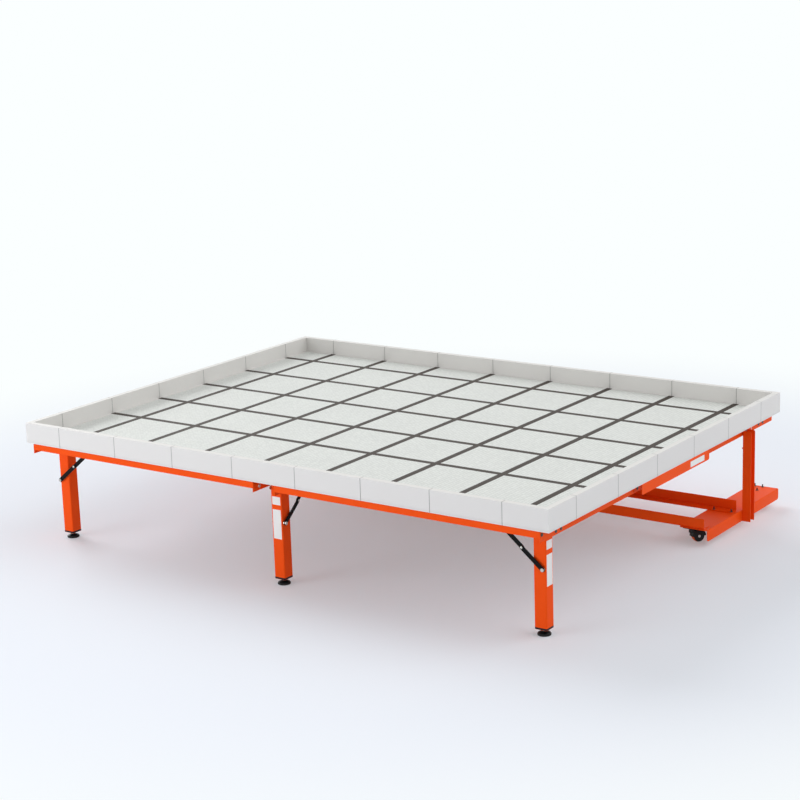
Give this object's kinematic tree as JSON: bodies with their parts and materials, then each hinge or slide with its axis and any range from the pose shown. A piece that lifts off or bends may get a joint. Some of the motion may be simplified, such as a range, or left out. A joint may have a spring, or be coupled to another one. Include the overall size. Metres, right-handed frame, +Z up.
{
  "type": "folding riser for a walled playing field",
  "caption": "Wide walled playing field on an orange sheet-steel frame with folding front legs and a rolling tilt base.",
  "frame": {"origin": "on the floor, under the middle of the bounding box", "axes": "+X along the long front edge to the right, +Y from the front legs to the rolling base, +Z up"},
  "size_m": [2.5214, 1.971, 0.5143],
  "materials": {
    "orange_powder_coat": "semi-gloss",
    "black_brace": "satin",
    "black_steel": "satin",
    "zinc_fastener": "satin",
    "foot_steel": "satin",
    "tile_plastic": "fine pebble",
    "wall_plastic": "satin",
    "black_plastic": "satin",
    "orange_tyre": "satin"
  },
  "bodies": {
    "base": {"cross_foot_left": "orange_powder_coat", "cross_foot_right": "orange_powder_coat", "base_rail_front": "orange_powder_coat", "base_rail_rear": "orange_powder_coat", "post_left": "orange_powder_coat", "post_right": "orange_powder_coat", "tilt_bolt_left": "zinc_fastener", "tilt_bolt_right": "zinc_fastener", "caster_plate_front_left": "black_steel", "caster_plate_rear_left": "black_steel", "caster_plate_front_right": "black_steel", "caster_plate_rear_right": "black_steel"},
    "table": {"floor_tiles": "tile_plastic", "wall_front": "wall_plastic", "wall_back": "wall_plastic", "wall_left": "wall_plastic", "wall_right": "wall_plastic", "front_rail_left": "orange_powder_coat", "front_rail_right": "orange_powder_coat", "back_rail_left": "orange_powder_coat", "back_rail_right": "orange_powder_coat", "side_rail_left": "orange_powder_coat", "side_rail_right": "orange_powder_coat", "mid_rail_left": "orange_powder_coat", "mid_rail_right": "orange_powder_coat", "deck_bearers_left": "orange_powder_coat", "deck_bearers_right": "orange_powder_coat", "splice_plate_middle": "orange_powder_coat", "splice_plate_rear": "orange_powder_coat", "leg_bridge": "orange_powder_coat", "side_handle_left": "orange_powder_coat", "side_handle_right": "orange_powder_coat", "leg_bracket_left": "orange_powder_coat", "leg_bracket_right": "orange_powder_coat", "leg_pivot_left": "zinc_fastener", "leg_pivot_middle": "zinc_fastener", "leg_pivot_right": "zinc_fastener"},
    "leg_left": {"leg_tube_left": "orange_powder_coat", "brace_bolt_left": "zinc_fastener"},
    "foot_left": {"leg_foot_left": "foot_steel"},
    "lower_left": {"brace_lower_left": "black_brace"},
    "upper_left": {"brace_upper_left": "black_brace"},
    "leg_right": {"leg_tube_right": "orange_powder_coat", "brace_bolt_right": "zinc_fastener"},
    "foot_right": {"leg_foot_right": "foot_steel"},
    "lower_right": {"brace_lower_right": "black_brace"},
    "upper_right": {"brace_upper_right": "black_brace"},
    "leg_middle": {"leg_tube_middle": "orange_powder_coat", "brace_bolt_middle": "zinc_fastener"},
    "foot_middle": {"leg_foot_middle": "foot_steel"},
    "lower_middle": {"brace_lower_middle": "black_brace"},
    "upper_middle": {"brace_upper_middle": "black_brace"},
    "fork_front_left": {"caster_fork_front_left": "black_plastic"},
    "wheel_front_left": {"caster_wheel_front_left": "orange_tyre"},
    "fork_rear_left": {"caster_fork_rear_left": "black_plastic"},
    "wheel_rear_left": {"caster_wheel_rear_left": "orange_tyre"},
    "fork_front_right": {"caster_fork_front_right": "black_plastic"},
    "wheel_front_right": {"caster_wheel_front_right": "orange_tyre"},
    "fork_rear_right": {"caster_fork_rear_right": "black_plastic"},
    "wheel_rear_right": {"caster_wheel_rear_right": "orange_tyre"}
  },
  "joints": [
    {"name": "table_tilt", "type": "hinge", "parent": "base", "child": "table", "pos_m": [0, 0.64516, 0.4064], "axis": [-1, 0, 0], "range_deg": [0, 90]},
    {"name": "left_leg_fold", "type": "hinge", "parent": "table", "child": "leg_left", "pos_m": [-1.14529, -0.85852, 0.3937], "axis": [0, -1, 0], "range_deg": [0, 90]},
    {"name": "left_lower_link", "type": "hinge", "parent": "leg_left", "child": "lower_left", "pos_m": [-1.17221, -0.85852, 0.25502], "axis": [0, -1, 0], "range_deg": [0, 36.59]},
    {"name": "left_upper_link", "type": "hinge", "parent": "table", "child": "upper_left", "pos_m": [-1.00457, -0.85852, 0.39319], "axis": [0, -1, 0], "range_deg": [-39.51, 0]},
    {"name": "left_foot_level", "type": "slide", "parent": "leg_left", "child": "foot_left", "axis": [0, 0, -1], "range_m": [0, 0.019]},
    {"name": "right_leg_fold", "type": "hinge", "parent": "table", "child": "leg_right", "pos_m": [1.14529, -0.85852, 0.3937], "axis": [0, 1, 0], "range_deg": [0, 90]},
    {"name": "right_lower_link", "type": "hinge", "parent": "leg_right", "child": "lower_right", "pos_m": [1.17221, -0.85852, 0.25502], "axis": [0, 1, 0], "range_deg": [0, 36.59]},
    {"name": "right_upper_link", "type": "hinge", "parent": "table", "child": "upper_right", "pos_m": [1.00457, -0.85852, 0.39319], "axis": [0, 1, 0], "range_deg": [-39.51, 0]},
    {"name": "right_foot_level", "type": "slide", "parent": "leg_right", "child": "foot_right", "axis": [0, 0, -1], "range_m": [0, 0.019]},
    {"name": "middle_leg_fold", "type": "hinge", "parent": "table", "child": "leg_middle", "pos_m": [0, -0.87706, 0.3937], "axis": [1, 0, 0], "range_deg": [0, 90]},
    {"name": "middle_lower_link", "type": "hinge", "parent": "leg_middle", "child": "lower_middle", "pos_m": [0, -0.90399, 0.25502], "axis": [1, 0, 0], "range_deg": [0, 36.59]},
    {"name": "middle_upper_link", "type": "hinge", "parent": "table", "child": "upper_middle", "pos_m": [0, -0.73635, 0.39319], "axis": [1, 0, 0], "range_deg": [-39.51, 0]},
    {"name": "middle_foot_level", "type": "slide", "parent": "leg_middle", "child": "foot_middle", "axis": [0, 0, -1], "range_m": [0, 0.019]},
    {"name": "front_left_swivel", "type": "hinge", "parent": "base", "child": "fork_front_left", "pos_m": [-1.1372, 0.3429, 0.05], "axis": [0, 0, 1], "continuous": true},
    {"name": "front_left_roll", "type": "hinge", "parent": "fork_front_left", "child": "wheel_front_left", "pos_m": [-1.12264, 0.36371, 0.0254], "axis": [-0.8192, 0.5736, 0], "continuous": true},
    {"name": "rear_left_swivel", "type": "hinge", "parent": "base", "child": "fork_rear_left", "pos_m": [-1.1372, 0.94742, 0.05], "axis": [0, 0, 1], "continuous": true},
    {"name": "rear_left_roll", "type": "hinge", "parent": "fork_rear_left", "child": "wheel_rear_left", "pos_m": [-1.15177, 0.92661, 0.0254], "axis": [0.8192, -0.5736, 0], "continuous": true},
    {"name": "front_right_swivel", "type": "hinge", "parent": "base", "child": "fork_front_right", "pos_m": [1.1372, 0.3429, 0.05], "axis": [0, 0, 1], "continuous": true},
    {"name": "front_right_roll", "type": "hinge", "parent": "fork_front_right", "child": "wheel_front_right", "pos_m": [1.15177, 0.36371, 0.0254], "axis": [-0.8192, 0.5736, 0], "continuous": true},
    {"name": "rear_right_swivel", "type": "hinge", "parent": "base", "child": "fork_rear_right", "pos_m": [1.1372, 0.94742, 0.05], "axis": [0, 0, 1], "continuous": true},
    {"name": "rear_right_roll", "type": "hinge", "parent": "fork_rear_right", "child": "wheel_rear_right", "pos_m": [1.12264, 0.92661, 0.0254], "axis": [0.8192, -0.5736, 0], "continuous": true}
  ],
  "couplings": [
    {"joint": "left_lower_link", "follows": "left_leg_fold", "ratio": 0.40603},
    {"joint": "left_upper_link", "follows": "left_leg_fold", "ratio": -0.43846},
    {"joint": "right_lower_link", "follows": "right_leg_fold", "ratio": 0.40603},
    {"joint": "right_upper_link", "follows": "right_leg_fold", "ratio": -0.43846},
    {"joint": "middle_lower_link", "follows": "middle_leg_fold", "ratio": 0.40603},
    {"joint": "middle_upper_link", "follows": "middle_leg_fold", "ratio": -0.43846}
  ]
}
